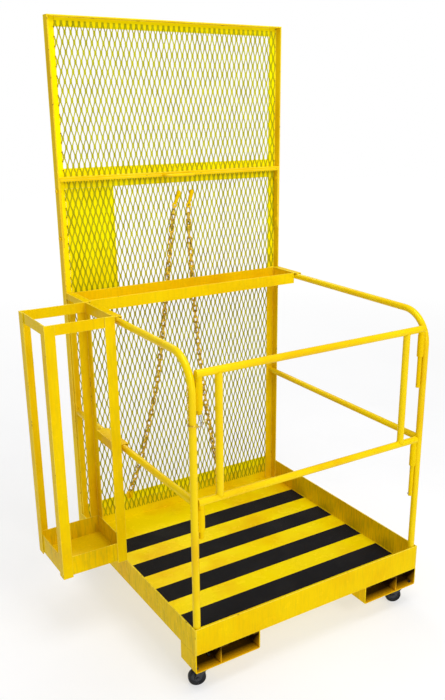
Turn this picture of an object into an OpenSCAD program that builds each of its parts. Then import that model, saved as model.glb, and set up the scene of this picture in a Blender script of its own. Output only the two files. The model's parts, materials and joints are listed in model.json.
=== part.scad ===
// Fork-lifted work platform on swivel casters. Millimetres, +Z up, floor at z = 0.
// Drawn from the front left corner at toe board top height, then moved by place().

/* [Platform] */
// Width of the deck over the toe boards
deck_w = 1016; // [900:1:1300]
// Depth of the deck over the toe boards
deck_d = 1016; // [900:1:1300]
// Toe board height
toe_h = 102; // [90:1:130]
// Toe board plate thickness
toe_t = 5; // [3:0.5:6]
// Deck plate thickness
deck_t = 5; // [3:0.5:6]

/* [Fork blocks] */
// Block height below the deck
fork_h = 72; // [64:1:100]
// Block length along the fork
fork_l = 104; // [80:1:160]
// Block width
fork_w = 264; // [240:1:320]
// Divider distance from the outer face
div_x = 99; // [95:1:110]
// Block plate thickness
fork_t = 5; // [4:0.5:6]

/* [Guard] */
// Height of the joint between the two mesh frames above the toe boards
joint_z = 1396; // [1300:1:1500]
// Height of the guard above the toe boards
top_z = 1968; // [1800:1:2100]
// Angle iron leg
ang = 38; // [30:1:50]
// Angle iron thickness
ang_t = 5; // [4:0.5:6]
// Thickness of each level leg at the joint between the frames
joint_t = 8; // [5:0.5:10]
// Mesh sheet's distance from the left, right and top of its frame
mesh_in = [36, 10, 17]; // [5:1:60]

/* [Rails and gate] */
// Tube diameter
tube = 25.4; // [22:0.2:32]
// Handrail centre height above the toe boards
rail_z = 948; // [900:1:1000]
// Mid rail centre height
mid_z = 464.5; // [420:0.5:500]
// Handrail bend radius
bend_r = 115; // [80:1:150]
// Gate top bar centre height
gate_top = 895; // [860:1:900]
// Gate bottom bar centre height
gate_low = 460; // [430:1:480]

/* [Casters] */
// Wheel diameter
wheel_d = 64; // [55:1:70]
// Height from floor to block
caster_h = 81; // [78:1:90]

/* [Hidden] */
$fn = 48;
e = 0.05;
wall = 2.1;
r_t = tube / 2;
paint = [0.93, 0.76, 0.02];
steel = [0.62, 0.63, 0.65];
black = [0.10, 0.10, 0.11];
fork_z = -toe_h - fork_h;
deck_z = -toe_h + deck_t;
toe_z = caster_h - fork_z;
post_x = toe_t + r_t;
post_y = toe_t + r_t;
cad_out = -264;
cad_in = -10;
cad_f = 499;
cad_b = 753;
nut_out = 6;
mid_x = (cad_out + deck_w + nut_out) / 2;
mid_y = deck_d / 2;
up_t = 4;
mesh_t = 1.2;
mesh_y = deck_d - ang_t - mesh_t;
up_y = mesh_y - 0.1;
slv_d = 24;
slv_r = 8.05;
pin_r = 7.95;
slv_x = post_x + r_t + slv_d / 2;
kp_x = 50;
kp_y = 38;
offset_c = 22;
guard_f = deck_d - ang;
rail_end = up_y - up_t;
lift_z = 112;

module place() {
    translate([-mid_x, -mid_y, toe_z]) children();
}

module mirror_x() {
    translate([deck_w, 0, 0]) mirror([1, 0, 0]) children();
}

module both_x() {
    children();
    mirror_x() children();
}

module box(lo, hi) {
    translate(lo) cube([hi[0] - lo[0], hi[1] - lo[1], hi[2] - lo[2]]);
}

// A box given by its low and high corners in deck coordinates.
module part_box(lo, hi) {
    place() box(lo, hi);
}

module round_x(x0, x1, y, z, r) {
    translate([x0, y, z]) rotate([0, 90, 0]) cylinder(r = r, h = x1 - x0);
}

module round_y(y0, y1, x, z, r) {
    translate([x, y0, z]) rotate([-90, 0, 0]) cylinder(r = r, h = y1 - y0);
}

module round_z(z0, z1, x, y, r) {
    translate([x, y, z0]) cylinder(r = r, h = z1 - z0);
}

module ring(r) {
    difference() {
        circle(r = r);
        circle(r = r - wall);
    }
}

module angle_z(x, z0, z1, t) {
    // An upright angle at the back left corner, its legs outward and rearward.
    box([x, guard_f, z0], [x + t, deck_d, z1]);
    box([x, deck_d - t, z0], [x + ang, deck_d, z1]);
}

// ---- platform ----
module deck_plate() {
    color(paint)
        part_box([toe_t, toe_t, -toe_h], [deck_w - toe_t, deck_d - toe_t, deck_z]);
}

module front_toe_board() {
    color(paint) part_box([toe_t, 0, -toe_h], [deck_w - toe_t, toe_t, 0]);
}

module left_toe_board() {
    color(paint) part_box([0, 0, -toe_h], [toe_t, guard_f, 0]);
}

module right_toe_board() {
    color(paint) part_box([deck_w - toe_t, 0, -toe_h], [deck_w, guard_f, 0]);
}

module back_kick_plate() {
    color(paint)
        part_box([ang, deck_d - ang_t, -toe_h], [deck_w - ang, deck_d, -20]);
}

module deck_stiffeners() {
    color(paint) place() both_x() {
        box([fork_w + 70, fork_l, -toe_h - 40], [fork_w + 76, deck_d - fork_l, -toe_h]);
        box([fork_w + 76, fork_l, -toe_h - 6], [fork_w + 110, deck_d - fork_l, -toe_h]);
    }
}

module grip_strips() {
    color(black) place() for (y = [127, 325, 526, 729])
        box([61, y, deck_z], [deck_w - 9, y + 102, deck_z + 1]);
}

// ---- fork blocks ----
module block_profile() {
    difference() {
        square([fork_w, fork_h]);
        translate([fork_t, fork_t]) square([fork_w - 2 * fork_t, fork_h]);
        difference() {
            square(6);
            translate([6, 6]) circle(r = 6);
        }
        translate([fork_w, 0]) difference() {
            translate([-6, 0]) square(6);
            translate([-6, 6]) circle(r = 6);
        }
    }
    translate([fork_w - 28, fork_h - fork_t]) square([28, fork_t]);
}

module bolt_holes(kx, ky) {
    for (s = [-1, 1])
        round_z(fork_z - 10, fork_z + 20, kx + 36 * s, ky + 22.5 * s, 3.2);
}

module block(y0, ky) {
    difference() {
        translate([0, y0 + fork_l, fork_z]) rotate([90, 0, 0])
            linear_extrude(fork_l) block_profile();
        bolt_holes(kp_x, ky);
    }
}

module fork_block_front_left() {
    color(paint) place() block(0, kp_y);
}

module fork_block_front_right() {
    color(paint) place() mirror_x() block(0, kp_y);
}

module fork_block_rear_left() {
    color(paint) place() block(deck_d - fork_l, deck_d - kp_y);
}

module fork_block_rear_right() {
    color(paint) place() mirror_x() block(deck_d - fork_l, deck_d - kp_y);
}

module fork_dividers() {
    color(paint) place() both_x() for (y = [0, deck_d - fork_l]) {
        box([div_x, y, fork_z + fork_t], [div_x + fork_t, y + fork_l, -toe_h]);
        box([div_x, y, -toe_h - fork_t], [div_x + 30, y + fork_l, -toe_h]);
    }
}

// ---- guard ----
module rear_uprights() {
    color(paint) place() both_x() {
        box([toe_t, up_y - ang, deck_z], [toe_t + up_t, up_y, rail_z + 10]);
        box([toe_t, up_y - up_t, deck_z], [toe_t + ang, up_y, rail_z + 10]);
    }
}

module guard_bolt_holes() {
    for (z = [joint_z - 222, joint_z - 43])
        round_x(-20, 30, guard_f + 16, z, 4.3);
}

module lower_guard_posts() {
    color(paint) place() both_x() difference() {
        angle_z(0, -toe_h, joint_z, ang_t);
        guard_bolt_holes();
    }
}

module lower_guard_bars() {
    x1 = deck_w - ang;
    color(paint) place() {
        box([ang, deck_d - ang_t, -20], [x1, deck_d, 18]);
        box([ang, deck_d - ang_t, joint_z - ang], [x1, deck_d, joint_z]);
        box([2 * ang_t, guard_f, joint_z - joint_t],
            [deck_w - 2 * ang_t, deck_d - ang_t, joint_z]);
    }
}

module lower_mesh() {
    color(paint) part_box([mesh_in[0], mesh_y, -60],
        [deck_w - mesh_in[1], mesh_y + mesh_t, joint_z - joint_t - 0.1]);
}

module infill_sheet() {
    color(paint) part_box([ang + 0.1, deck_d - ang_t, rail_z - 6],
        [238, deck_d - ang_t + mesh_t, joint_z - ang - 0.1]);
}

module upper_guard_posts() {
    color(paint) place() both_x() angle_z(0, joint_z, top_z, ang_t);
}

module upper_guard_bars() {
    x1 = deck_w - ang;
    y1 = deck_d - ang_t;
    color(paint) place() {
        box([ang, y1, joint_z], [x1, deck_d, joint_z + ang]);
        box([ang_t, guard_f, joint_z], [deck_w - ang_t, y1, joint_z + joint_t]);
        box([ang, y1, top_z - ang], [x1, deck_d, top_z]);
        box([ang_t, guard_f, top_z - ang_t], [deck_w - ang_t, y1, top_z]);
    }
}

module upper_mesh() {
    color(paint) part_box([mesh_in[0], mesh_y, joint_z + joint_t + 0.1],
        [deck_w - mesh_in[1], mesh_y + mesh_t, top_z - mesh_in[2]]);
}

module guard_tongues() {
    color(paint) place() both_x() difference() {
        box([ang_t, guard_f + 1, joint_z - 256], [2 * ang_t, mesh_y - 1, joint_z]);
        guard_bolt_holes();
    }
}

module hex(af, h) {
    cylinder(r = af / sqrt(3), h = h, $fn = 6);
}

module guard_bolts() {
    color(paint) place() both_x() for (z = [joint_z - 222, joint_z - 43])
        translate([0, guard_f + 16, z]) rotate([0, 90, 0]) {
            translate([0, 0, -nut_out]) cylinder(r = 4.2, h = 2 * ang_t + nut_out + 4);
            translate([0, 0, -nut_out]) hex(13, nut_out);
            translate([0, 0, 2 * ang_t]) cylinder(r = 8, h = 4);
        }
}

module grab_handle() {
    r = 18;
    x0 = deck_w / 2 - 64;
    x1 = deck_w / 2 + 64;
    y0 = guard_f - 34;
    z = joint_z - 2.5;
    color(paint) place() {
        round_x(x0 + r, x1 - r, y0, z, 6);
        for (x = [x0, x1])
            round_y(y0 + r, guard_f, x, z, 6);
        translate([x0 + r, y0 + r, z]) rotate([0, 0, 180])
            rotate_extrude(angle = 90) translate([r, 0]) circle(r = 6);
        translate([x1 - r, y0 + r, z]) rotate([0, 0, -90])
            rotate_extrude(angle = 90) translate([r, 0]) circle(r = 6);
    }
}

// ---- rails ----
module tube_y(y0, y1, x, z) {
    translate([x, y0, z]) rotate([-90, 0, 0]) linear_extrude(y1 - y0) ring(r_t);
}

module upright_notch() {
    box([0, up_y - ang - 0.1, deck_z], [toe_t + up_t + 0.1, deck_d, rail_z + 40]);
}

module handrail() {
    difference() {
        union() {
            tube_y(post_y + bend_r, rail_end, post_x, rail_z);
            translate([post_x, post_y, deck_z])
                linear_extrude(rail_z - bend_r - deck_z) ring(r_t);
            translate([post_x, post_y + bend_r, rail_z - bend_r])
                rotate([90, 0, -90]) rotate_extrude(angle = 90)
                    translate([bend_r, 0]) ring(r_t);
        }
        upright_notch();
    }
}

module left_handrail() {
    color(paint) place() handrail();
}

module right_handrail() {
    color(paint) place() mirror_x() handrail();
}

module mid_rails() {
    color(paint) place() both_x() difference() {
        tube_y(post_y, rail_end, post_x, mid_z);
        round_z(mid_z - 40, mid_z + 40, post_x, post_y, r_t + e);
        upright_notch();
    }
}

// ---- gate ----
// Sleeve heights: [bottom, top] for the left pair, then the right pair.
slv_l = [[776, 872], [356, 436]];
slv_rt = [[792, 872], [356, 436]];

module sleeve(x, s) {
    translate([x, post_y, s[0]]) linear_extrude(s[1] - s[0]) difference() {
        circle(r = slv_d / 2);
        circle(r = slv_r);
    }
}

module gate_sleeves() {
    color(paint) place() for (i = [0, 1]) {
        sleeve(slv_x, slv_l[i]);
        sleeve(deck_w - slv_x, slv_rt[i]);
    }
}

module gate_bar(z) {
    x0 = post_x + r_t + 1;
    difference() {
        round_x(x0, deck_w - x0, post_y, z, r_t);
        round_x(x0 + 3, deck_w - x0 - 3, post_y, z, r_t - wall);
    }
}

module gate_top_bar() {
    color(paint) place() gate_bar(gate_top);
}

module gate_bottom_bar() {
    color(paint) place() gate_bar(gate_low);
}

module gate_uprights() {
    color(paint) place() both_x() difference() {
        translate([114, post_y, gate_low])
            linear_extrude(gate_top - gate_low) ring(r_t);
        round_x(60, 180, post_y, gate_low, r_t + e);
        round_x(60, 180, post_y, gate_top, r_t + e);
    }
}

module gate_pin(x, zbar, ztop, z0, hole) {
    difference() {
        union() {
            round_z(z0, zbar, x, post_y, pin_r);
            round_z(ztop, zbar, x, post_y, 11);
        }
        round_x(x - 30, x + 30, post_y, zbar, r_t + e);
        round_x(x - 30, x + 30, post_y, hole, 2.1);
    }
}

module gate_hinge_pins() {
    x = deck_w - slv_x;
    color(paint) place() {
        gate_pin(x, gate_top, slv_rt[0][1], 672, 684);
        gate_pin(x, gate_low, slv_rt[1][1], 228, 240);
    }
}

module gate_latch_pins() {
    color(paint) place() {
        gate_pin(slv_x, gate_top, slv_l[0][1], 762, 769);
        gate_pin(slv_x, gate_low, slv_l[1][1], 330, 342);
    }
}

module gate_cotter() {
    x = deck_w - slv_x;
    color(steel) place() round_x(x - 14, x + 12, post_y, 240, 2);
}

// ---- lock pin on its lanyard, hanging free beside the latch pin ----
lock_x = 38;
lock_y = 1.6;
lock_t = 762;

module lock_pin() {
    color(steel) place() translate([lock_x, lock_y + 1, 0]) {
        for (x = [-4, 4])
            round_z(lock_t - 36, lock_t, x, 0, 1.5);
        translate([0, 0, lock_t]) rotate([90, 0, 0])
            rotate_extrude(angle = 180) translate([4, 0]) circle(r = 1.5);
    }
}

module lock_lanyard() {
    r = r_t + 2;
    color(steel) place() {
        round_z(lock_t - 30, 860, post_x - r, post_y, 1.6);
        translate([post_x, post_y, lock_t - 30]) {
            rotate([0, 0, 180]) rotate_extrude(angle = 105)
                translate([r, 0]) circle(r = 1.6);
            translate([-r, 0, 0]) sphere(r = 1.6);
        }
    }
}

// ---- tray ----
tray_f = 815;
tray_b = 975;
tray_z0 = 918;
tray_z1 = 964;
tray_x0 = 31;

module tool_tray() {
    x1 = deck_w - tray_x0;
    color(paint) place() difference() {
        box([tray_x0, tray_f, tray_z0], [x1, tray_b, tray_z1]);
        box([tray_x0 + 2, tray_f + 2, tray_z0 + 2], [x1 - 2, tray_b - 2, tray_z1 + 1]);
    }
}

module tray_end_flanges() {
    z = rail_z + r_t + 0.1;
    color(paint) place() both_x() {
        box([2, tray_f - 12, z], [tray_x0, tray_b, z + 3]);
        box([2, tray_f - 12, z - 22], [toe_t - 0.1, tray_b, z]);
    }
}

// ---- caddy ----
cad_z0 = 20;
cad_z1 = 977;
cad_t = 4;

module caddy_leg(z0, z1) {
    box([cad_out, cad_f, z0], [cad_out + ang, cad_f + cad_t, z1]);
    box([cad_out, cad_f, z0], [cad_out + cad_t, cad_f + ang, z1]);
}

module caddy_legs() {
    cx = (cad_out + cad_in) / 2;
    cy = (cad_f + cad_b) / 2;
    color(paint) place() for (mx = [0, 1], my = [0, 1])
        translate([cx, cy, 0]) mirror([mx, 0, 0]) mirror([0, my, 0])
            translate([-cx, -cy, 0]) caddy_leg(cad_z0, cad_z1);
}

module caddy_ring(t, z0, z1) {
    difference() {
        box([cad_out + cad_t, cad_f + cad_t, z0], [cad_in - cad_t, cad_b - cad_t, z1]);
        box([cad_out + cad_t + t, cad_f + cad_t + t, z0 - 1],
            [cad_in - cad_t - t, cad_b - cad_t - t, z1 + 1]);
    }
}

module caddy_rim() {
    color(paint) place() caddy_ring(3, cad_z1 - ang, cad_z1);
}

module caddy_base_band() {
    color(paint) place() caddy_ring(3, cad_z0 + 7, cad_z0 + 82);
}

module caddy_floor() {
    color(paint) part_box([cad_out + cad_t + 3, cad_f + cad_t + 3, cad_z0 + 7],
        [cad_in - cad_t - 3, cad_b - cad_t - 3, cad_z0 + 10]);
}

module caddy_hook(z, drop) {
    zt = z + r_t + 0.1;
    xl = post_x + r_t + 0.6;
    y0 = cad_f + ang;
    y1 = cad_b - ang;
    box([cad_in - cad_t, y0, zt - drop], [cad_in, y1, zt + 3]);
    box([cad_in, y0, zt], [xl + 3, y1, zt + 3]);
    box([xl, y0, zt - 26], [xl + 3, y1, zt]);
}

module caddy_hooks() {
    color(paint) place() {
        caddy_hook(rail_z, 22);
        caddy_hook(mid_z, 34);
    }
}

// ---- restraint chains ----
module rod(a, b, r) {
    d = b - a;
    l = norm(d);
    translate(a) rotate([0, acos(d[2] / l), atan2(d[1], d[0])]) cylinder(r = r, h = l);
}

module run(p, r) {
    for (i = [0:len(p) - 2])
        rod(p[i], p[i + 1], r);
    for (i = [1:len(p) - 2])
        translate(p[i]) sphere(r = r + 1);
}

chain_y = 1001;
left_run = [[500, chain_y, 1258], [489, chain_y, 1199], [445, chain_y, 856],
    [434, chain_y, 770], [398, chain_y, 533], [364, chain_y, 400],
    [301, chain_y, 167], [244, chain_y, 40]];
right_run = [[567, chain_y, 1255], [567, chain_y, 1164], [586, chain_y, 838],
    [606, chain_y, 617], [622, chain_y, 475], [642, chain_y, 329],
    [673, chain_y, 146], [696, chain_y, 40]];

module left_chain() {
    color(paint) place() run(left_run, 5);
}

module right_chain() {
    color(paint) place() run(right_run, 5);
}

module chain_hooks() {
    color(paint) place() {
        rod([502, chain_y, 1266], [524, chain_y, 1319], 6.5);
        rod([568, chain_y, 1263], [584, chain_y, 1320], 6.5);
    }
}

module chain_lugs() {
    color(paint) place() for (x = [242, 698]) {
        box([x - 15, up_y - 3, -6], [x + 15, up_y, 30]);
        translate([x, up_y - 3, 12]) rotate([0, 90, 0]) rotate([0, 0, 180])
            rotate_extrude(angle = 180) translate([10, 0]) circle(r = 3.5);
    }
}

// ---- casters ----
module each_caster(i) {
    kx = (i % 2 == 0) ? kp_x : deck_w - kp_x;
    ky = (i < 2) ? kp_y : deck_d - kp_y;
    translate([kx, ky, fork_z]) children();
}

yaw = [160, 148, 152, 166];
top_t = 3;
race_h = 7;
yoke_t = 3;
axle_z = -(caster_h - wheel_d / 2);
ax_r = 4;

module caster_plate(s) {
    difference() {
        translate([-46, -30, -top_t]) cube([92, 60, top_t]);
        for (k = [-1, 1])
            translate([36 * k * s, 22.5 * k, -top_t - 1]) cylinder(r = 3.2, h = top_t + 2);
    }
    translate([0, 0, -top_t - race_h]) cylinder(r = 24, h = race_h);
    translate([0, 0, -top_t - race_h - yoke_t - 0.2]) cylinder(r = 6, h = yoke_t + 0.2);
    translate([0, 0, -top_t - race_h - yoke_t - 2.2]) cylinder(r = 9, h = 2);
}

module caster_plates() {
    color(black) place() for (i = [0:3])
        each_caster(i) caster_plate((i % 2 == 0) ? 1 : -1);
}

module caster_bolts() {
    color(black) place() for (i = [0:3]) each_caster(i) for (k = [-1, 1])
        translate([36 * k * ((i % 2 == 0) ? 1 : -1), 22.5 * k, 0]) {
            translate([0, 0, -top_t - 5]) cylinder(r = 3.1, h = top_t + fork_t + 13.5);
            translate([0, 0, -top_t - 5]) hex(10, 5);
            translate([0, 0, fork_t]) hex(10, 5);
        }
}

module yoke_side() {
    difference() {
        union() {
            polygon([[-15, 0], [17, 0], [offset_c + 10, -34], [offset_c - 6, -42]]);
            translate([offset_c, axle_z + top_t + race_h + 0.1]) circle(r = 10);
        }
        translate([offset_c, axle_z + top_t + race_h + 0.1]) circle(r = ax_r + 0.05);
    }
}

module yoke() {
    zt = -top_t - race_h - 0.1;
    translate([0, 0, zt - yoke_t]) difference() {
        intersection() {
            cylinder(r = 24, h = yoke_t);
            translate([-30, -17, 0]) cube([60, 34, yoke_t]);
        }
        translate([0, 0, -1]) cylinder(r = 6.1, h = yoke_t + 2);
    }
    for (s = [-1, 1])
        translate([0, s * 15.5 + 1.5, zt]) rotate([90, 0, 0])
            linear_extrude(3) yoke_side();
}

module axle() {
    translate([offset_c, -21, axle_z]) rotate([-90, 0, 0]) {
        cylinder(r = ax_r, h = 42);
        translate([0, 0, 0]) hex(12, 4);
        translate([0, 0, 38]) hex(12, 4);
    }
}

module wheel() {
    w = wheel_d / 2;
    translate([offset_c, 0, axle_z]) rotate([90, 0, 0]) rotate_extrude()
        polygon([[ax_r + 0.08, -13.5], [10, -13.5], [11, -9], [w - 10, -9], [w - 8, -12],
            [w - 4, -12], [w, -8], [w, 8], [w - 4, 12], [w - 8, 12], [w - 10, 9],
            [11, 9], [10, 13.5], [ax_r + 0.08, 13.5]]);
}

module at_caster(i) {
    place() each_caster(i) rotate([0, 0, yaw[i]]) children();
}

module yoke_fl() {
    color(black) at_caster(0) yoke();
}

module yoke_fr() {
    color(black) at_caster(1) yoke();
}

module yoke_rl() {
    color(black) at_caster(2) yoke();
}

module yoke_rr() {
    color(black) at_caster(3) yoke();
}

module axle_fl() {
    color(black) at_caster(0) axle();
}

module axle_fr() {
    color(black) at_caster(1) axle();
}

module axle_rl() {
    color(black) at_caster(2) axle();
}

module axle_rr() {
    color(black) at_caster(3) axle();
}

module wheel_fl() {
    color(black) at_caster(0) wheel();
}

module wheel_fr() {
    color(black) at_caster(1) wheel();
}

module wheel_rl() {
    color(black) at_caster(2) wheel();
}

module wheel_rr() {
    color(black) at_caster(3) wheel();
}

deck_plate();
front_toe_board();
left_toe_board();
right_toe_board();
back_kick_plate();
deck_stiffeners();
grip_strips();
fork_block_front_left();
fork_block_front_right();
fork_block_rear_left();
fork_block_rear_right();
fork_dividers();
rear_uprights();
lower_guard_posts();
lower_guard_bars();
lower_mesh();
infill_sheet();
upper_guard_posts();
upper_guard_bars();
upper_mesh();
guard_tongues();
guard_bolts();
grab_handle();
left_handrail();
right_handrail();
mid_rails();
gate_sleeves();
gate_top_bar();
gate_bottom_bar();
gate_uprights();
gate_hinge_pins();
gate_latch_pins();
gate_cotter();
lock_pin();
lock_lanyard();
tool_tray();
tray_end_flanges();
caddy_legs();
caddy_rim();
caddy_base_band();
caddy_floor();
caddy_hooks();
left_chain();
right_chain();
chain_hooks();
chain_lugs();
caster_plates();
caster_bolts();
yoke_fl();
yoke_fr();
yoke_rl();
yoke_rr();
axle_fl();
axle_fr();
axle_rl();
axle_rr();
wheel_fl();
wheel_fr();
wheel_rl();
wheel_rr();
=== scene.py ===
"""Looks for the fork-lifted work platform: enamel, expanded metal, chains, welds and casters."""
import json
import math
import random

import bmesh
import bpy
from mathutils import Matrix, Vector


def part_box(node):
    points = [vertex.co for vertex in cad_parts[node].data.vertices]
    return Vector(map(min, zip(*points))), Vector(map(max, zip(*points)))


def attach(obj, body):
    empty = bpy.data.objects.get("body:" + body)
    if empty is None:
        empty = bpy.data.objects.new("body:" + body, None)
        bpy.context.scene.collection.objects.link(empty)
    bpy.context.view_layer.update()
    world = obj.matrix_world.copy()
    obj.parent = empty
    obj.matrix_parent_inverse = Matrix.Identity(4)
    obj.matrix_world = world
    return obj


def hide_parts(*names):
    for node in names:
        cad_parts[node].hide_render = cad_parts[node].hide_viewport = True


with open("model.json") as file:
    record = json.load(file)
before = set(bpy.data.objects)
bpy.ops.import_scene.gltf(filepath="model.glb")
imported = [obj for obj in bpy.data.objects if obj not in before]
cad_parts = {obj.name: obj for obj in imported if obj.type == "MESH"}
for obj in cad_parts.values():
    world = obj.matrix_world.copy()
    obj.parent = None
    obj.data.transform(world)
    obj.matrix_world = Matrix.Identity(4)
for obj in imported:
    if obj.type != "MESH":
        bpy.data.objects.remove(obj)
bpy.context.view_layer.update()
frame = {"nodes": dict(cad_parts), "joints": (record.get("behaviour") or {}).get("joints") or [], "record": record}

MM = 0.001
TOE_LOW, TOE_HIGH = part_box("left_toe_board")
# The front left corner of the deck at toe board top height.
DECK_CORNER = Vector((TOE_LOW.x, TOE_LOW.y, TOE_HIGH.z))
BODY_OF = {n: b for b, nodes in frame["record"]["behaviour"]["bodies"].items() for n in nodes}

# An edge is a corner, and is rounded and rubbed, when its faces turn by more than this.
SHARP = math.radians(30)
TUBE_R = 12.7 * MM

# Places from the deck corner, in millimetres.
DECK_W = 1016
POST_IN = 17.7
RAIL_Z = 948
MID_RAIL_Z = 464.5
GATE_TOP_Z = 895
GATE_LOW_Z = 460
DECK_Z = -97


def deck(x, y, z):
    """A place in millimetres from the deck corner, in the frame's metres."""
    return DECK_CORNER + Vector((x, y, z)) * MM


# ---- camera and light ----
def add_camera():
    """Stands in front of the left corner and looks slightly down."""
    data = bpy.data.cameras.new("camera")
    data.sensor_width = 36
    data.lens = 42.18
    data.shift_x = -0.0316
    data.shift_y = 0.0378
    data.clip_end = 60
    camera = bpy.data.objects.new("camera", data)
    camera.location = (-1.5032, -2.5454, 1.9388)
    aim = Vector((0.5156, 0.7946, -0.3206))
    camera.rotation_euler = aim.to_track_quat("-Z", "Y").to_euler()
    bpy.context.scene.collection.objects.link(camera)
    bpy.context.scene.camera = camera


def add_softbox(name, place, size, power, colour=(1, 1, 1)):
    """A rectangular lamp of size metres and power watts that faces the middle of the object."""
    data = bpy.data.lights.new(name, "AREA")
    data.shape = "RECTANGLE"
    data.size = size[0]
    data.size_y = size[1]
    data.energy = power
    data.color = colour
    lamp = bpy.data.objects.new(name, data)
    lamp.location = place
    aim = Vector((0, 0, 0.9)) - lamp.location
    lamp.rotation_euler = aim.to_track_quat("-Z", "Y").to_euler()
    bpy.context.scene.collection.objects.link(lamp)


def add_studio():
    """A white sweep that lights the object softly, with a high and a low light in front."""
    bpy.context.scene.view_settings.view_transform = "Standard"
    world = bpy.data.worlds.new("studio")
    world.use_nodes = True
    tree = world.node_tree
    soft = tree.nodes["Background"]
    soft.inputs["Color"].default_value = (1, 1, 1, 1)
    soft.inputs["Strength"].default_value = 0.46
    sweep_white = tree.nodes.new("ShaderNodeBackground")
    sweep_white.inputs["Color"].default_value = (1, 1, 1, 1)
    direct = tree.nodes.new("ShaderNodeLightPath").outputs["Is Camera Ray"]
    shown = tree.nodes.new("ShaderNodeMixShader")
    tree.links.new(direct, shown.inputs[0])
    tree.links.new(soft.outputs[0], shown.inputs[1])
    tree.links.new(sweep_white.outputs[0], shown.inputs[2])
    tree.links.new(shown.outputs[0], tree.nodes["World Output"].inputs["Surface"])
    bpy.context.scene.world = world
    add_softbox("key", (1.0, -6.6, 5.2), (2.4, 2.4), 176)
    add_softbox("low_front", (-0.9, -6.0, 1.5), (2.0, 1.4), 44)
    add_softbox("fill", (-6.0, -2.0, 2.2), (3.0, 3.0), 3, (0.94, 1.0, 0.95))
    add_softbox("top", (0.2, -0.9, 4.8), (2.4, 2.4), 92)
    add_softbox("back", (1.5, 4.6, 3.8), (2.5, 2.0), 60)


# ---- finishes ----
class Finish:
    """Builds one material's nodes on Object coordinates."""

    def __init__(self, name):
        self.material = bpy.data.materials.new(name)
        self.material.use_nodes = True
        self.tree = self.material.node_tree
        self.shader = self.tree.nodes["Principled BSDF"]
        self.place = self.add("ShaderNodeTexCoord").outputs["Object"]

    def add(self, kind, **settings):
        node = self.tree.nodes.new(kind)
        for key, value in settings.items():
            setattr(node, key, value)
        return node

    def join(self, source, socket):
        self.tree.links.new(source, socket)

    def fixed(self, **values):
        """Numbers that are the same all over the surface."""
        for key, value in values.items():
            self.shader.inputs[key.replace("_", " ")].default_value = value

    def noise(self, scale, detail=2.0, stretch=(1, 1, 1)):
        """Clouds about 1 / scale metres across, drawn out where stretch is under 1."""
        spread = self.add("ShaderNodeMapping")
        spread.inputs["Scale"].default_value = stretch
        self.join(self.place, spread.inputs["Vector"])
        texture = self.add("ShaderNodeTexNoise")
        texture.inputs["Scale"].default_value = scale
        texture.inputs["Detail"].default_value = detail
        self.join(spread.outputs["Vector"], texture.inputs["Vector"])
        return texture.outputs[0]

    def grains(self, scale):
        """Distance to the nearest of many scattered points."""
        texture = self.add("ShaderNodeTexVoronoi")
        texture.inputs["Scale"].default_value = scale
        self.join(self.place, texture.inputs["Vector"])
        return texture.outputs["Distance"]

    def between(self, value, low, high, out_low=0.0, out_high=1.0):
        """Ramps from out_low to out_high as value goes from low to high."""
        node = self.add("ShaderNodeMapRange")
        self.join(value, node.inputs["Value"])
        for socket, number in zip(("From Min", "From Max", "To Min", "To Max"),
                                  (low, high, out_low, out_high)):
            node.inputs[socket].default_value = number
        return node.outputs["Result"]

    def positive(self, a):
        """a without its sign."""
        node = self.add("ShaderNodeMath", operation="ABSOLUTE")
        self.join(a, node.inputs[0])
        return node.outputs[0]

    def times(self, a, b):
        node = self.add("ShaderNodeMath", operation="MULTIPLY")
        self.join(a, node.inputs[0])
        self.join(b, node.inputs[1])
        return node.outputs[0]

    def plus(self, a, b):
        node = self.add("ShaderNodeMath", operation="ADD")
        self.join(a, node.inputs[0])
        self.join(b, node.inputs[1])
        return node.outputs[0]

    def tint(self, share, a, b):
        """Colour a where share is 0 and b where it is 1. Either may be a socket."""
        node = self.add("ShaderNodeMix", data_type="RGBA")
        self.join(share, node.inputs[0])
        for socket, colour in ((node.inputs[6], a), (node.inputs[7], b)):
            if isinstance(colour, tuple):
                socket.default_value = (*colour, 1)
            else:
                self.join(colour, socket)
        return node.outputs[2]

    def axis(self, letter):
        """One coordinate of the place on the object."""
        apart = self.add("ShaderNodeSeparateXYZ")
        self.join(self.place, apart.inputs[0])
        return apart.outputs[letter]

    def edges(self):
        """1 on a piece's rounded edges and 0 on its flats."""
        return self.add("ShaderNodeAttribute", attribute_name="edge").outputs["Fac"]

    def colour(self, socket):
        self.join(socket, self.shader.inputs["Base Color"])

    def roughness(self, socket):
        self.join(socket, self.shader.inputs["Roughness"])

    def relief(self, *layers):
        """Stacks bump layers of (height, strength, distance in metres)."""
        normal = None
        for height, strength, distance in layers:
            node = self.add("ShaderNodeBump")
            node.inputs["Strength"].default_value = strength
            node.inputs["Distance"].default_value = distance
            self.join(height, node.inputs["Height"])
            if normal is not None:
                self.join(normal, node.inputs["Normal"])
            normal = node.outputs["Normal"]
        self.join(normal, self.shader.inputs["Normal"])


# Paint colours, linear.
YELLOW = (0.84, 0.57, 0.001)
YELLOW_PALE = (0.87, 0.65, 0.002)
YELLOW_CLEAN = (0.88, 0.69, 0.001)
RAIL_YELLOW = (0.85, 0.61, 0.002)
YELLOW_DEEP = (0.77, 0.46, 0.0006)
# Lemon yellows behind the mesh: a two-tone coat made brighter than paint can be, as painted light.
LEMON_LIT = (0.98, 0.86, 0.001)
LEMON_LIT_DEEP = (0.96, 0.78, 0.0006)
# Pale yellow of the painted highlight along rounded edges.
EDGE_HIGHLIGHT = (0.93, 0.80, 0.10)
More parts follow.
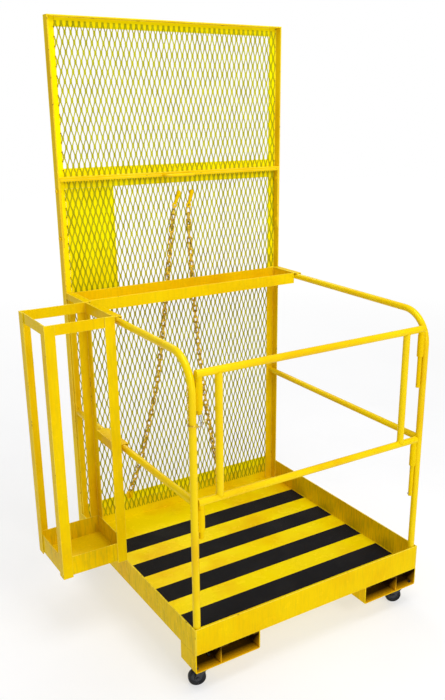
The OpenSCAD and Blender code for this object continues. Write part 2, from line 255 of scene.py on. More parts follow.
# Painted shade for the fork pockets' insides: orange half-shade at the mouth, near-black further in.
POCKET_HALF_SHADE = (0.72, 0.36, 0.002)
SHADE = (0.02, 0.008, 0.002)
PRIMER = (0.22, 0.13, 0.04)
GRIME = (0.05, 0.035, 0.02)
ROAD_FILM = (0.40, 0.34, 0.012)
DECK_DUST = (0.58, 0.42, 0.04)
TRODDEN = (0.48, 0.28, 0.01)
FORK_PLATE = 5 * MM


def inside_pockets(f):
    """Shares of the pockets' inner faces, and of painted shade that deepens further in and higher up."""
    low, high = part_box("fork_block_front_left")
    centre_x = (TOE_LOW.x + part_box("right_toe_board")[1].x) / 2
    from_centre = f.add("ShaderNodeMath", operation="SUBTRACT")
    f.join(f.axis("X"), from_centre.inputs[0])
    from_centre.inputs[1].default_value = centre_x
    across = f.positive(from_centre.outputs[0])
    along = f.positive(f.axis("Y"))
    up = f.axis("Z")
    outer = centre_x - low.x - FORK_PLATE
    inner = centre_x - high.x + FORK_PLATE
    walls = f.times(f.between(across, outer + 1 * MM, outer),
                    f.between(across, inner - 1 * MM, inner))
    walls = f.times(walls, f.between(up, low.z + 2 * MM, low.z + 3 * MM))
    depth = f.between(along, abs(low.y) - 2 * MM, abs(low.y) - 38 * MM, 0.0, 0.97)
    height = f.between(up, low.z + 12 * MM, high.z - 12 * MM, 0.0, 0.9)
    return walls, f.plus(depth, height)


def enamel(name, base=YELLOW, scuffs=0.0, film=0.0, shine=0.015, lemon_lit_from=None, pockets=False):
    """Gloss enamel: orange peel, uneven depth of colour, a painted highlight along the edges, and edges rubbed
    through in places.

    base is the coat's own yellow. scuffs and film are the strengths of trodden marks and of
    upright runs of road film, and shine is the specular level. After shine comes the distance back,
    in metres, past which the coat is a second, lemon yellow, brighter than paint can be: painted
    light behind the mesh. The last flag paints shade into the insides of the fork pockets, orange at
    the mouth and near-black further in and higher up.
    """
    f = Finish(name)
    cloud = f.noise(4.5, 4)
    runs = f.noise(9, 3, (1, 1, 0.25))
    depth = f.tint(f.between(cloud, 0.30, 0.56), YELLOW_DEEP, base)
    depth = f.tint(f.between(runs, 0.45, 0.75, 0, 0.55), depth, YELLOW_PALE)
    # Behind the mesh the coat turns lemon and brighter than paint: painted light over the strands' shadows.
    if lemon_lit_from is not None:
        lemon_lit_share = f.between(f.axis("Y"), lemon_lit_from, lemon_lit_from + 1 * MM)
        depth = f.tint(lemon_lit_share, depth, f.tint(f.between(cloud, 0.38, 0.66), LEMON_LIT_DEEP, LEMON_LIT))
    # A painted highlight along the rounded edges, stronger in places.
    depth = f.tint(f.times(f.edges(), f.between(runs, 0.3, 0.7, 0.35, 0.8)), depth, EDGE_HIGHLIGHT)
    if film:
        streaks = f.between(f.noise(120, 5, (1, 1, 0.14)), 0.44, 0.76, 0, film)
        depth = f.tint(streaks, depth, ROAD_FILM)
    if pockets:
        inside, shade_share = inside_pockets(f)
        # Painted shade inside the fork pockets, orange at the mouth and near-black further in and higher up.
        depth = f.tint(inside, depth, f.tint(shade_share, POCKET_HALF_SHADE, SHADE))
    rubbed = f.times(f.edges(), f.between(f.noise(55, 5), 0.62, 0.67))
    shown = f.tint(rubbed, depth, PRIMER)
    gloss = f.between(f.noise(30, 3), 0.3, 0.7, 0.17, 0.30)
    if scuffs:
        scratch = f.between(f.noise(26, 6, (1, 8, 8)), 0.66, 0.70)
        worn = f.times(scratch, f.between(f.noise(3, 3), 0.45, 0.65, 0, scuffs))
        dust = f.between(f.noise(7, 5), 0.5, 0.75, 0, 0.35 * scuffs)
        shown = f.tint(dust, shown, DECK_DUST)
        shown = f.tint(worn, shown, TRODDEN)
        gloss = f.plus(gloss, f.times(dust, f.between(f.noise(40, 2), 0.3, 0.7, 0.4, 0.9)))
    f.colour(shown)
    f.roughness(gloss)
    f.fixed(Specular_IOR_Level=shine, Metallic=0.05)
    f.relief((f.noise(7, 1), 0.22, 6 * MM), (f.noise(330, 2), 0.10, 0.5 * MM))
    return f.material


def strand_enamel_shaded():
    """Yellow enamel on the strands, darkened to a greenish olive as painted shade, with darker patches of painted
    shade.
    """
    f = Finish("strand_enamel_shaded")
    cloud = f.noise(18, 3)
    # The olive and the darker patches are painted shade on the strands.
    shade = f.tint(f.between(cloud, 0.35, 0.65), (0.34, 0.32, 0.002), (0.49, 0.47, 0.003))
    shade = f.tint(f.between(f.noise(160, 3), 0.60, 0.72, 0, 0.6), shade, (0.14, 0.09, 0.01))
    f.colour(shade)
    f.roughness(f.between(f.noise(60, 2), 0.3, 0.7, 0.28, 0.48))
    f.fixed(Specular_IOR_Level=0.06, Metallic=0.1)
    f.relief((f.noise(420, 3), 0.25, 0.4 * MM))
    return f.material


def plated(name, bright, dull, metallic=0.95, rough=(0.25, 0.45)):
    """Plated steel, clouded and dulled in patches."""
    f = Finish(name)
    patch = f.noise(70, 4)
    streak = f.noise(240, 3, (1, 1, 0.2))
    shade = f.tint(f.between(patch, 0.35, 0.65), dull, bright)
    shade = f.tint(f.between(streak, 0.55, 0.75, 0, 0.5), shade, dull)
    shade = f.tint(f.between(f.noise(130, 3), 0.56, 0.64, 0, 0.75), shade, GRIME)
    f.colour(shade)
    f.roughness(f.between(patch, 0.3, 0.7, rough[1], rough[0]))
    f.fixed(Metallic=metallic)
    f.relief((f.noise(500, 2), 0.12, 0.3 * MM))
    return f.material


def black_oxide():
    """Oiled black steel, rubbed to bare metal here and there along the edges."""
    f = Finish("black_oxide")
    patch = f.noise(90, 4)
    rubbed = f.times(f.edges(), f.between(f.noise(160, 3), 0.56, 0.62))
    shade = f.tint(f.between(patch, 0.35, 0.65), (0.007, 0.008, 0.012), (0.020, 0.022, 0.030))
    f.colour(f.tint(rubbed, shade, (0.12, 0.12, 0.13)))
    f.roughness(f.between(patch, 0.3, 0.7, 0.28, 0.5))
    f.relief((f.noise(600, 2), 0.15, 0.2 * MM))
    return f.material


def weld_scale():
    """Tack welds where the heat browned the paint."""
    f = Finish("weld_scale")
    burn = f.noise(240, 3)
    f.colour(f.tint(f.between(burn, 0.35, 0.65), (0.07, 0.02, 0.006), (0.34, 0.17, 0.01)))
    f.roughness(f.between(burn, 0.3, 0.7, 0.4, 0.75))
    f.relief((f.noise(700, 2), 0.3, 0.3 * MM))
    return f.material


def grit_tape():
    """Anti-slip tape: mineral grit in black binder, with painted glints on the grains, and trodden patches."""
    f = Finish("grit_tape")
    grit = f.grains(900)
    coarse = f.noise(420, 4)
    trodden = f.between(f.noise(6, 4), 0.48, 0.68)
    shade = f.tint(f.between(coarse, 0.40, 0.70), (0.003, 0.003, 0.004), (0.011, 0.0105, 0.014))
    # Pale specks are painted glints on the grit.
    painted_glint = f.between(f.noise(1300, 1), 0.72, 0.78)
    shade = f.tint(painted_glint, shade, (0.10, 0.10, 0.11))
    shade = f.tint(f.times(trodden, f.between(coarse, 0.4, 0.7, 0, 0.4)), shade, (0.04, 0.038, 0.036))
    f.colour(shade)
    f.fixed(Specular_IOR_Level=0.12)
    f.roughness(f.between(coarse, 0.3, 0.7, 0.62, 0.92))
    f.relief((coarse, 0.7, 0.7 * MM), (grit, 0.5, 0.4 * MM))
    return f.material


def tyre_rubber():
    """Black rubber with a little floor dust."""
    f = Finish("tyre_rubber")
    dust = f.noise(45, 4)
    shade = f.tint(f.between(dust, 0.45, 0.75), (0.004, 0.004, 0.005), (0.016, 0.016, 0.017))
    f.colour(shade)
    f.roughness(f.between(dust, 0.3, 0.7, 0.35, 0.65))
    f.fixed(Specular_IOR_Level=0.3)
    f.relief((f.noise(260, 3), 0.2, 0.3 * MM))
    return f.material


def hub_plastic():
    """Moulded blue-black plastic."""
    f = Finish("hub_plastic")
    cloud = f.noise(60, 3)
    f.colour(f.tint(f.between(cloud, 0.4, 0.7), (0.012, 0.014, 0.019), (0.026, 0.029, 0.036)))
    f.roughness(f.between(cloud, 0.3, 0.7, 0.25, 0.42))
    f.relief((f.noise(700, 2), 0.12, 0.2 * MM))
    return f.material


FLOOR_NEAR = 1.6
FLOOR_FAR = 6.0


def pale_floor():
    """A white studio floor that brightens into the white sweep round it."""
    f = Finish("pale_floor")
    away = f.add("ShaderNodeVectorMath", operation="LENGTH")
    f.join(f.place, away.inputs[0])
    sweep_share = f.between(away.outputs["Value"], FLOOR_NEAR, FLOOR_FAR)
    cloud = f.noise(1.3, 3)
    near = f.tint(f.between(cloud, 0.3, 0.7), (0.40, 0.40, 0.41), (0.43, 0.43, 0.44))
    f.colour(f.tint(sweep_share, near, (0, 0, 0)))
    f.roughness(f.between(cloud, 0.3, 0.7, 0.7, 0.8))
    f.fixed(Emission_Color=(1, 1, 1, 1), Specular_IOR_Level=0.1)
    glow = f.between(away.outputs["Value"], FLOOR_NEAR, FLOOR_FAR, 0.56, 1.0)
    f.join(glow, f.shader.inputs["Emission Strength"])
    return f.material


# ---- piece making ----
def finished(name, bm, body, material, replaces=(), angle=SHARP, weighted=False):
    """Turns a bmesh into a piece on its body."""
    mesh = bpy.data.meshes.new(name)
    bm.to_mesh(mesh)
    bm.free()
    mesh.shade_smooth()
    mesh.set_sharp_from_angle(angle=angle)
    mesh.materials.append(material)
    piece = bpy.data.objects.new(name, mesh)
    bpy.context.scene.collection.objects.link(piece)
    if weighted:
        even = piece.modifiers.new("even_shading", "WEIGHTED_NORMAL")
        even.keep_sharp = True
    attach(piece, body)
    if replaces:
        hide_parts(*replaces)


def merged_copy(node):
    """A node's own surface with its loose triangles joined into whole faces."""
    bm = bmesh.new()
    bm.from_mesh(frame["nodes"][node].data)
    bmesh.ops.remove_doubles(bm, verts=bm.verts, dist=0.02 * MM)
    bmesh.ops.dissolve_limit(bm, angle_limit=math.radians(1), verts=bm.verts, edges=bm.edges)
    return bm


def soften(node, material, width, shortest=9 * MM, segments=2):
    """The node with its long edges rounded to width, and those edges marked for wear and a painted highlight."""
    bm = merged_copy(node)
    mark = bm.faces.layers.float.new("edge")
    hard = [e for e in bm.edges if len(e.link_faces) == 2
            and e.calc_face_angle() > SHARP and e.calc_length() > shortest]
    made = bmesh.ops.bevel(bm, geom=hard, offset=width, offset_type="OFFSET", segments=segments,
                           profile=0.5, affect="EDGES", clamp_overlap=True, material=-1)
    for face in made["faces"]:
        face[mark] = 1
    finished(f"{node}_piece", bm, BODY_OF[node], material, [node], weighted=True)


def sweep(points, radius, cyclic=False, rounded=False, sides=2):
    """A mesh swept along (place, width share) points: straight runs, or one smooth curve."""
    curve = bpy.data.curves.new("sweep", "CURVE")
    curve.dimensions = "3D"
    curve.bevel_depth = radius
    curve.bevel_resolution = sides
    curve.use_fill_caps = True
    curve.resolution_u = 8
    line = curve.splines.new("NURBS" if rounded else "POLY")
    line.points.add(len(points) - 1)
    for target, (place, share) in zip(line.points, points):
        target.co = (*place, 1)
        target.radius = share
    line.use_cyclic_u = cyclic
    if rounded:
        line.order_u = 3
        line.use_endpoint_u = not cyclic
    holder = bpy.data.objects.new("sweep", curve)
    bpy.context.scene.collection.objects.link(holder)
    graph = bpy.context.evaluated_depsgraph_get()
    mesh = bpy.data.meshes.new_from_object(holder.evaluated_get(graph))
    bpy.data.objects.remove(holder)
    bpy.data.curves.remove(curve)
    return mesh


def add_mesh(bm, mesh, matrix=None):
    """Adds a mesh to a bmesh, moved by matrix."""
    before = len(bm.verts)
    bm.from_mesh(mesh)
    bm.verts.ensure_lookup_table()
    if matrix is not None:
        bmesh.ops.transform(bm, verts=bm.verts[before:], matrix=matrix)


# ---- expanded metal ----
DIAMOND_W = 23 * MM
DIAMOND_H = 67 * MM
STRAND = 3.9 * MM
SHEET = 1.5 * MM
# How far a strand's two edges stand in front of and behind the sheet.
LEAN = 1.6 * MM
# Cuts that blunt each diamond's ends and sides.
TIP = 3 * MM
WAIST = 6.4 * MM
# Cut strands nearer than this along a post are one end, and share a tack.
STRAND_GAP = 14 * MM


def diamond_strands(lo, hi):
    """An open sheet of staggered diamonds over the box, its strands leaning front to back."""
    centre = (lo + hi) / 2
    half = (hi - lo) / 2
    centre.x = lo.x + (round(half.x / DIAMOND_W) + 0.25) * DIAMOND_W
    cells = 2 * math.ceil(half.x / DIAMOND_W + half.z / DIAMOND_H) + 4
    bm = bmesh.new()
    bmesh.ops.create_grid(bm, x_segments=cells, y_segments=cells, size=cells / math.sqrt(8))
    bmesh.ops.rotate(bm, verts=bm.verts, matrix=Matrix.Rotation(math.pi / 4, 3, "Z"))
    bmesh.ops.scale(bm, verts=bm.verts, vec=(DIAMOND_W, DIAMOND_H, 1))
    bmesh.ops.rotate(bm, verts=bm.verts, matrix=Matrix.Rotation(math.pi / 2, 3, "X"))
    bmesh.ops.translate(bm, verts=bm.verts, vec=centre)
    outside = [f for f in bm.faces
               if abs(f.calc_center_median().x - centre.x) > half.x + 2 * DIAMOND_W
               or abs(f.calc_center_median().z - centre.z) > half.z + DIAMOND_H]
    bmesh.ops.delete(bm, geom=outside, context="FACES")
    diamonds = bm.faces[:]
    bmesh.ops.inset_individual(bm, faces=diamonds, thickness=STRAND / 2, use_even_offset=True)
    tips = []
    waists = []
    for diamond in diamonds:
        middle = diamond.calc_center_median()
        for v in diamond.verts:
            aside = v.co.x - middle.x
            if abs(aside) > DIAMOND_W / 5:
                v.co.y += math.copysign(LEAN, aside)
                waists.append(v)
            else:
                tips.append(v)
    for corners, cut in ((tips, TIP), (waists, WAIST)):
        bmesh.ops.bevel(bm, geom=corners, offset=cut, offset_type="OFFSET", segments=1,
                        profile=0.5, affect="VERTICES", clamp_overlap=False, material=-1)
    gaps = [f for f in bm.faces if f.calc_area() > DIAMOND_W * DIAMOND_H / 4]
    bmesh.ops.delete(bm, geom=gaps, context="FACES_ONLY")
    return bm


def expanded_metal(node, material):
    """Raised expanded metal cut to the node's box. Gives the places where strands meet posts."""
    lo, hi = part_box(node)
    bm = diamond_strands(lo, hi)
    for corner, outward in ((lo, (-1, 0, 0)), (lo, (0, 0, -1)), (hi, (1, 0, 0)), (hi, (0, 0, 1))):
        everything = bm.verts[:] + bm.edges[:] + bm.faces[:]
        bmesh.ops.bisect_plane(bm, geom=everything, plane_co=corner, plane_no=outward,
                               clear_outer=True)
    rear = max(v.co.y for v in bm.verts)
    bmesh.ops.translate(bm, verts=bm.verts, vec=(0, hi.y - SHEET - rear, 0))
    ends = strand_ends(bm, lo, hi)
    bmesh.ops.solidify(bm, geom=bm.faces[:], thickness=SHEET)
    rear = max(v.co.y for v in bm.verts)
    bmesh.ops.translate(bm, verts=bm.verts, vec=(0, hi.y - rear, 0))
    bmesh.ops.recalc_face_normals(bm, faces=bm.faces)
    finished(f"{node}_strands", bm, "platform", material, [node])
    return ends


def strand_ends(bm, lo, hi):
    """Where the cut strands meet the posts at each side, one place per end."""
    ends = []
    for side in (lo.x, hi.x):
        cut = sorted((v.co.copy() for v in bm.verts if abs(v.co.x - side) < 0.01 * MM),
                     key=lambda place: place.z)
        for place in cut:
            if not ends or ends[-1].x != side or place.z - ends[-1].z > STRAND_GAP:
                ends.append(Vector((side, hi.y - SHEET, place.z)))
    return ends


def mesh_tacks(name, ends, material):
    """A short tack weld at each strand's end, above the kick plate."""
    bm = bmesh.new()
    for place in ends:
        if place.z < DECK_CORNER.z + 20 * MM:
            continue
        middle = place + Vector((0, 0, STRAND_GAP / 2))
        half = Vector((0, 0, 1.6 * MM))
        add_mesh(bm, straight_bead(middle - half, middle + half, 2.4 * MM))
    finished(name, bm, "platform", material, angle=math.pi)


# ---- chains ----
# Each chain's run down the mesh from its hook to its lug, in millimetres from the deck corner.
LEFT_RUN = [(500, 1001, 1258), (489, 1001, 1199), (445, 1001, 856), (434, 1001, 770),
            (398, 1001, 533), (364, 1001, 400), (301, 1001, 167), (244, 1001, 40)]
RIGHT_RUN = [(567, 1001, 1255), (567, 1001, 1164), (586, 1001, 838), (606, 1001, 617),
             (622, 1001, 475), (642, 1001, 329), (673, 1001, 146), (696, 1001, 40)]
LINK_PITCH = 25 * MM
LANYARD_PITCH = 7 * MM


def link_mesh(wire, gap_l, gap_w, sides=8, turns=6):
    """One welded chain link, long way up, made by spinning a ring round both ends."""
    bend = (gap_w + wire) / 2
    straight = gap_l - gap_w
    bm = bmesh.new()
    start = Matrix.Translation((bend, 0, -straight / 2))
    bmesh.ops.create_circle(bm, segments=sides, radius=wire / 2, matrix=start)
    ring = bm.edges[:]
    for end in (1, -1):
        drawn = bmesh.ops.extrude_edge_only(bm, edges=ring)["geom"]
        tip = [g for g in drawn if isinstance(g, bmesh.types.BMVert)]
        bmesh.ops.translate(bm, verts=tip, vec=(0, 0, end * straight))
        ring = [g for g in drawn if isinstance(g, bmesh.types.BMEdge)
                and g.verts[0] in tip and g.verts[1] in tip]
        spun = bmesh.ops.spin(bm, geom=tip + ring, cent=(0, 0, end * straight / 2),
                              axis=(0, -1, 0), angle=math.pi, steps=turns)["geom_last"]
        ring = [g for g in spun if isinstance(g, bmesh.types.BMEdge)]
    bmesh.ops.remove_doubles(bm, verts=bm.verts, dist=0.01 * MM)
    bmesh.ops.recalc_face_normals(bm, faces=bm.faces)
    mesh = bpy.data.meshes.new("link")
    bm.to_mesh(mesh)
    bm.free()
    return mesh


def along(points, distance):
    """The place and direction at a distance along straight runs."""
    for a, b in zip(points, points[1:]):
        step = (b - a).length
        if distance <= step or b is points[-1]:
            return a + (b - a) * (distance / step), (b - a).normalized()
        distance -= step


def chain(name, points, link, pitch, node, material, twist, seed):
    """Links strung along the run, each a quarter turn from the last and a little loose."""
    loose = random.Random(seed)
    length = sum((b - a).length for a, b in zip(points, points[1:]))
    count = round(length / pitch)
    bm = bmesh.new()
    for i in range(count):
        place, way = along(points, (i + 0.5) * length / count)
        turn = twist + (i % 2) * math.pi / 2 + loose.uniform(-0.16, 0.16)
        upright = way.to_track_quat("Z", "Y").to_matrix().to_4x4()
        add_mesh(bm, link, Matrix.Translation(place) @ upright @ Matrix.Rotation(turn, 4, "Z"))
    finished(name, bm, "platform", material, [node], angle=math.pi)


def restraint_chains(material):
    """The two chains that tie the platform to the truck, hung up by their hooks."""
    link = link_mesh(7 * MM, LINK_PITCH, 9.5 * MM)
    for name, run, seed in (("left_chain", LEFT_RUN, 3), ("right_chain", RIGHT_RUN, 8)):
        points = [deck(*p) for p in run]
        chain(f"{name}_links", points, link, LINK_PITCH, name, material, math.pi / 4, seed)


def chain_hook(name, low, high, material, replaces=()):
    """A forged hook: an eye on the last link, a shank, and a bill through a diamond."""
    foot = deck(*low)
    head = deck(*high)
    up = (head - foot).normalized()
    back = Vector((0, 1, 0))
    shank = [(foot + up * 9 * MM, 0.75), (foot + up * 16 * MM, 0.95), (foot + up * 34 * MM, 1.1),
             (head - up * 12 * MM - back * 3 * MM, 1.15), (head - back * 3 * MM, 1.05),
             (head + back * 6 * MM, 0.95), (head - up * 6 * MM + back * 10 * MM, 0.85)]
    bm = bmesh.new()
    add_mesh(bm, sweep(shank, 7.5 * MM, rounded=True, sides=4))
    side = up.cross(back)
    eye = [(foot + (up * math.sin(a) + side * math.cos(a)) * 8 * MM, 1)
           for a in (math.radians(20 * i) for i in range(18))]
    add_mesh(bm, sweep(eye, 4 * MM, cyclic=True, sides=3))
    finished(name, bm, "platform", material, replaces, angle=math.pi)


def chain_hooks(material):
    """Both hooks, caught in the mesh below the frames' joint."""
    chain_hook("left_hook", (502, 1000, 1268), (524, 1000, 1320), material, ["chain_hooks"])
    chain_hook("right_hook", (568, 1000, 1265), (584, 1000, 1321), material)


def lock_lanyard(material):
    """Fine chain down the left post, round its front to the clip and a short way past it."""
    radius = TUBE_R + 2 * MM
    axis = deck(POST_IN, POST_IN, 0)
    around = [math.radians(180 + 15 * i) for i in range(8)]
    points = [axis + Vector((-radius, 0, 860 * MM))]
    points += [axis + Vector((radius * math.cos(a), radius * math.sin(a), 732 * MM)) for a in around]
    points += [deck(36, 4, 726), deck(54, 6, 738), deck(72, 8, 752)]
    link = link_mesh(2 * MM, LANYARD_PITCH, 3 * MM, sides=6, turns=4)
    chain("lanyard_links", points, link, LANYARD_PITCH, "lock_lanyard", material, 0.6, 5)


def lock_clip(material):
    """A spring hairpin: one straight leg, one waved leg, and a closed bow at the top."""
    lo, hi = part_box("lock_pin")
    wire = 1.6 * MM
    mid_y = (lo.y + hi.y) / 2
    left = lo.x + wire
    right = hi.x - wire
    top = hi.z - wire
    low = lo.z + wire
    drop = top - low
    route = [(right, low), (right, low + 0.5 * drop), (right, top - 0.12 * drop),
             ((left + right) / 2 + 2 * MM, top), (left, top - 0.10 * drop),
             (left + 1.5 * MM, low + 0.62 * drop), (right - 3.4 * MM, low + 0.46 * drop),
             (left + 1 * MM, low + 0.30 * drop), (right - 3.8 * MM, low + 0.16 * drop),
             (left + 2 * MM, low)]
    bm = bmesh.new()
    add_mesh(bm, sweep([((x, mid_y, z), 1) for x, z in route], wire, rounded=True, sides=3))
    finished("lock_clip", bm, "lock_pin", material, ["lock_pin"], angle=math.pi)


# ---- weld beads ----
RIPPLE = 2.2 * MM


def bead(points, radius, cyclic=False):
    """A weld bead along a line, with the ripple of each dip of the rod."""
    sizes = [(p, 1 if i % 2 else 0.8) for i, p in enumerate(points)]
    return sweep(sizes, radius, cyclic=cyclic, sides=1)


def straight_bead(a, b, radius=1.8 * MM):
    """A bead from a to b, with a dip of the rod at each ripple."""
    steps = max(2, round((b - a).length / RIPPLE))
    return bead([a.lerp(b, i / steps) for i in range(steps + 1)], radius)


def saddle_bead(centre, direction, radius=1.9 * MM):
    """Round the foot of an upright tube where it meets a level tube that runs along X."""
    turns = [2 * math.pi * i / 36 for i in range(36)]
    points = [centre + Vector((TUBE_R * math.sin(a), TUBE_R * math.cos(a),
                               direction * (TUBE_R * abs(math.sin(a)) + 0.6 * MM)))
              for a in turns]
    return bead(points, radius, cyclic=True)


def ring_bead(centre, axis, around, radius=1.9 * MM):
    """A level or upright ring of weld round a tube."""
    turn = Vector(axis).to_track_quat("Z", "Y")
    steps = max(12, round(2 * math.pi * around / RIPPLE / 2) * 2)
    points = [centre + turn @ Vector((around * math.cos(2 * math.pi * i / steps),
                                      around * math.sin(2 * math.pi * i / steps), 0))
              for i in range(steps)]
    return bead(points, radius, cyclic=True)


def both_sides(x):
    """The same distance in from the left and from the right side, in millimetres."""
    return x, DECK_W - x


def platform_welds(material):
    """Beads at the posts, gate sleeves, guard corners, toe boards and front corners."""
    bm = bmesh.new()
    for x in both_sides(POST_IN):
        add_mesh(bm, ring_bead(deck(x, POST_IN, DECK_Z + 0.6), (0, 0, 1), TUBE_R))
        for z in (RAIL_Z, MID_RAIL_Z):
            add_mesh(bm, ring_bead(deck(x, 1004.6, z), (0, 1, 0), TUBE_R))
    for x, top_sleeve in zip(both_sides(30.9), (776, 792)):
        for low, high in ((top_sleeve, 872), (356, 436)):
            for y in (12.2, 23.2):
                add_mesh(bm, straight_bead(deck(x, y, low + 2), deck(x, y, high - 2), 1.7 * MM))
    for x in both_sides(38):
        for low, high in ((-20, 18), (1358, 1396), (1396, 1434), (1930, 1968)):
            for y in (DECK_W, 1010.8):
                add_mesh(bm, straight_bead(deck(x, y, low + 1), deck(x, y, high - 1), 1.2 * MM))
    foot = DECK_Z + 0.8
    for y in (180, 410, 640, 880):
        for x in both_sides(5.4):
            add_mesh(bm, straight_bead(deck(x, y, foot), deck(x, y + 48, foot), 2.2 * MM))
    for x in (150, 420, 690, 880):
        add_mesh(bm, straight_bead(deck(x, 5.4, foot), deck(x + 48, 5.4, foot), 2.2 * MM))
    for x in both_sides(5.2):
        add_mesh(bm, straight_bead(deck(x, 5.2, -94), deck(x, 5.2, -1.5), 1.8 * MM))
    finished("platform_welds", bm, "platform", material, angle=math.pi)


def mid_rail_welds(material):
    """Round each front post where the mid rail is coped on to it."""
    bm = bmesh.new()
    steps = 36
    for x in both_sides(POST_IN):
        points = []
        for i in range(steps):
            a = 2 * math.pi * i / steps
            aside = TUBE_R * math.cos(a)
            out = math.sqrt(max(0, TUBE_R ** 2 - aside ** 2)) + 0.5 * MM
            points.append(deck(x, POST_IN, MID_RAIL_Z) + Vector((aside, out, TUBE_R * math.sin(a))))
        add_mesh(bm, bead(points, 1.9 * MM, cyclic=True))
    finished("mid_rail_welds", bm, "platform", material, angle=math.pi)


def gate_welds(material):
    """Saddle beads at both ends of the gate's uprights."""
    bm = bmesh.new()
    for x in both_sides(114):
        add_mesh(bm, saddle_bead(deck(x, POST_IN, GATE_TOP_Z), -1))
        add_mesh(bm, saddle_bead(deck(x, POST_IN, GATE_LOW_Z), 1))
    finished("gate_welds", bm, "gate", material, angle=math.pi)


# ---- casters ----
def wheel_piece(corner, tyre, hub):
    """A cast hub with a crowned rubber tyre, spun about the axle."""
    axle = next(j for j in frame["joints"] if j["name"] == f"caster_{corner}_roll")
    centre = Vector(axle["pos_m"])
    turn = Vector(axle["axis"]).to_track_quat("Z", "Y").to_matrix().to_4x4()
    place = Matrix.Translation(centre) @ turn
    # Half sections as (radius, distance along the axle), in millimetres.
    tyre_line = [(22, -9), (23, -11.2), (26, -12), (29, -11.6), (31, -9.4), (31.7, -5), (32, 0),
                 (31.7, 5), (31, 9.4), (29, 11.6), (26, 12), (23, 11.2), (22, 9)]
    hub_line = [(4.2, -13.4), (9, -13.4), (10, -12.6), (11, -8), (13, -6.5), (19, -6.5), (20.5, -9),
                (22, -9.4), (22, 9.4), (20.5, 9), (19, 6.5), (13, 6.5), (11, 8), (10, 12.6),
                (9, 13.4), (4.2, 13.4)]
    for name, line, material, replaces in (("tyre", tyre_line, tyre, [f"wheel_{corner}"]),
                                           ("hub", hub_line, hub, [])):
        bm = bmesh.new()
        verts = [bm.verts.new((r * MM, 0, z * MM)) for r, z in line]
        edges = [bm.edges.new(pair) for pair in zip(verts, verts[1:])]
        edges.append(bm.edges.new((verts[-1], verts[0])))
        bmesh.ops.spin(bm, geom=verts + edges, cent=(0, 0, 0), axis=(0, 0, 1), angle=2 * math.pi,
                       steps=48, use_merge=True)
        bmesh.ops.remove_doubles(bm, verts=bm.verts, dist=0.01 * MM)
        bmesh.ops.recalc_face_normals(bm, faces=bm.faces)
        bmesh.ops.transform(bm, verts=bm.verts, matrix=place)
        finished(f"{name}_{corner}", bm, f"roller_{corner}", material, replaces)


# ---- floor ----
def add_floor(material):
    """A flat floor, well past the picture on every side."""
    bm = bmesh.new()
    bmesh.ops.create_grid(bm, x_segments=1, y_segments=1, size=14)
    mesh = bpy.data.meshes.new("floor")
    bm.to_mesh(mesh)
    bm.free()
    mesh.materials.append(material)
    floor = bpy.data.objects.new("floor", mesh)
    bpy.context.scene.collection.objects.link(floor)


add_camera()
add_studio()
add_floor(pale_floor())

frame_enamel = enamel("frame_enamel", film=0.2)
plate_enamel = enamel("plate_enamel", film=0.6)
rail_enamel = enamel("rail_enamel", base=RAIL_YELLOW, shine=0.1)
deck_enamel = enamel("deck_enamel", base=YELLOW_CLEAN, scuffs=0.3)
# This enamel paints shade inside the fork pockets.
block_enamel_pocket_shade = enamel("block_enamel_pocket_shade", film=0.5, pockets=True)
# This enamel is lemon and over-bright behind the mesh: painted light.
guard_enamel_lemon_lit = enamel("guard_enamel_lemon_lit", lemon_lit_from=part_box("lower_mesh")[1].y - 1 * MM)
zinc = plated("zinc_plate", (0.62, 0.64, 0.68), (0.36, 0.37, 0.39))
chromate = plated("yellow_chromate", (1.0, 0.72, 0.06), (0.42, 0.26, 0.01), metallic=0.45,
                  rough=(0.2, 0.4))
oxide = black_oxide()
tape = grit_tape()
rubber = tyre_rubber()
plastic = hub_plastic()

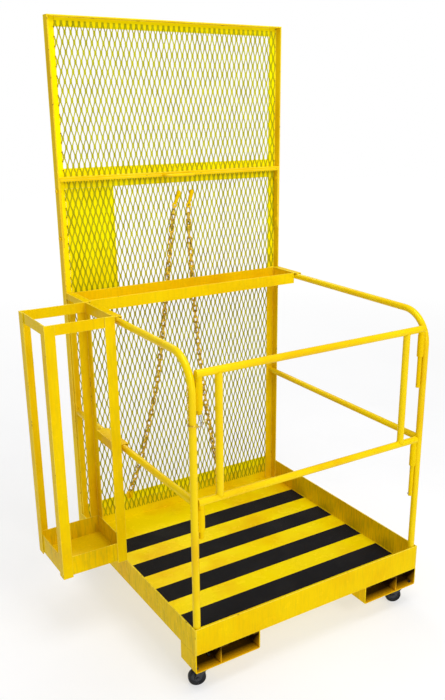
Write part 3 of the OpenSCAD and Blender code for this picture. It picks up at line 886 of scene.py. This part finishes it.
# How far each enamelled node's long edges are rounded, in millimetres.
EDGE_WIDTH = {
    "deck_plate": 0.8, "front_toe_board": 1.4, "left_toe_board": 1.4, "right_toe_board": 1.4,
    "back_kick_plate": 1.0, "deck_stiffeners": 1.0, "fork_block_front_left": 1.2,
    "fork_block_front_right": 1.2, "fork_block_rear_left": 1.2, "fork_block_rear_right": 1.2,
    "fork_dividers": 1.0, "rear_uprights": 1.0, "lower_guard_posts": 1.2, "lower_guard_bars": 1.0,
    "infill_sheet": 0.3, "upper_guard_posts": 1.2, "upper_guard_bars": 1.0, "guard_tongues": 1.0,
    "grab_handle": 0.4, "left_handrail": 0.4, "right_handrail": 0.4, "mid_rails": 0.4,
    "gate_sleeves": 0.4, "gate_top_bar": 0.4, "gate_bottom_bar": 0.4, "gate_uprights": 0.4,
    "gate_hinge_pins": 0.4, "gate_latch_pins": 0.4, "tool_tray": 0.7, "tray_end_flanges": 0.8,
    "caddy_legs": 1.0, "caddy_rim": 0.8, "caddy_base_band": 0.8, "caddy_floor": 0.6,
    "caddy_hooks": 0.8, "chain_lugs": 0.5,
}
ENAMEL_OF = {"deck_plate": deck_enamel, "back_kick_plate": deck_enamel,
             "left_toe_board": plate_enamel, "right_toe_board": plate_enamel,
             "caddy_base_band": plate_enamel,
             "left_handrail": rail_enamel, "right_handrail": rail_enamel,
             "mid_rails": rail_enamel, "gate_top_bar": rail_enamel, "gate_bottom_bar": rail_enamel,
             "gate_uprights": rail_enamel, "grab_handle": rail_enamel, "infill_sheet": guard_enamel_lemon_lit,
             "lower_guard_bars": guard_enamel_lemon_lit, "upper_guard_bars": guard_enamel_lemon_lit,
             "lower_guard_posts": guard_enamel_lemon_lit, "upper_guard_posts": guard_enamel_lemon_lit,
             "fork_block_front_left": block_enamel_pocket_shade, "fork_block_front_right": block_enamel_pocket_shade,
             "fork_block_rear_left": block_enamel_pocket_shade, "fork_block_rear_right": block_enamel_pocket_shade,
             "fork_dividers": block_enamel_pocket_shade}
for node, width in EDGE_WIDTH.items():
    soften(node, ENAMEL_OF.get(node, frame_enamel), width * MM)
soften("grip_strips", tape, 0.35 * MM)
soften("guard_bolts", frame_enamel, 0.5 * MM, shortest=4 * MM)
soften("gate_cotter", zinc, 0.3 * MM)
soften("caster_plates", oxide, 0.5 * MM)
soften("caster_bolts", oxide, 0.5 * MM, shortest=4 * MM)
for corner in ("fl", "fr", "rl", "rr"):
    soften(f"yoke_{corner}", oxide, 0.6 * MM)
    soften(f"axle_{corner}", oxide, 0.4 * MM, shortest=4 * MM)
    wheel_piece(corner, rubber, plastic)

# The strands' enamel carries painted shade.
strands = strand_enamel_shaded()
scale = weld_scale()
for node in ("lower_mesh", "upper_mesh"):
    mesh_tacks(f"{node}_tacks", expanded_metal(node, strands), scale)
restraint_chains(chromate)
chain_hooks(frame_enamel)
lock_lanyard(chromate)
lock_clip(zinc)
platform_welds(frame_enamel)
mid_rail_welds(frame_enamel)
gate_welds(frame_enamel)
